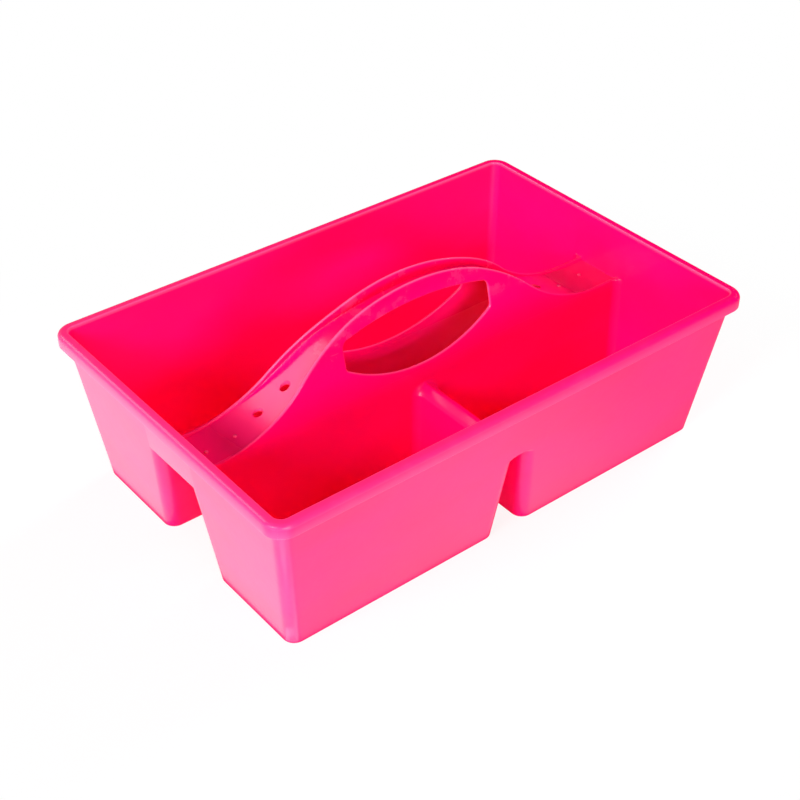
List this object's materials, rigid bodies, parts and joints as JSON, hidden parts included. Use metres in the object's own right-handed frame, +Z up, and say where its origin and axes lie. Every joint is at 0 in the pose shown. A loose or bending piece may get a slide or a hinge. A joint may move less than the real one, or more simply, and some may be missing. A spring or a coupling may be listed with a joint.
{
  "type": "horse grooming box",
  "caption": "Open moulded carry tray with leaning walls, one long bin and two short bins, a hollow divider that rises into an arched handle with a hand hole, and a turned-over rim.",
  "frame": {"origin": "middle of the footprint, on the ground under the bins", "axes": "+X along the length of the box, +Y towards the long bin, +Z up"},
  "size_m": [0.4, 0.262, 0.147],
  "materials": {
    "moulding": "hot pink polypropylene with a soft gloss"
  },
  "bodies": {
    "root": {"rear_bin": "moulding", "front_left_bin": "moulding", "front_right_bin": "moulding", "front_bridge": "moulding", "left_end_bridge": "moulding", "right_end_bridge": "moulding", "cross_ridge": "moulding", "front_cheek": "moulding", "rear_cheek": "moulding", "grip_floor": "moulding", "left_shoulder": "moulding", "right_shoulder": "moulding", "front_rim": "moulding", "rear_rim": "moulding", "left_rim": "moulding", "right_rim": "moulding"}
  },
  "joints": []
}
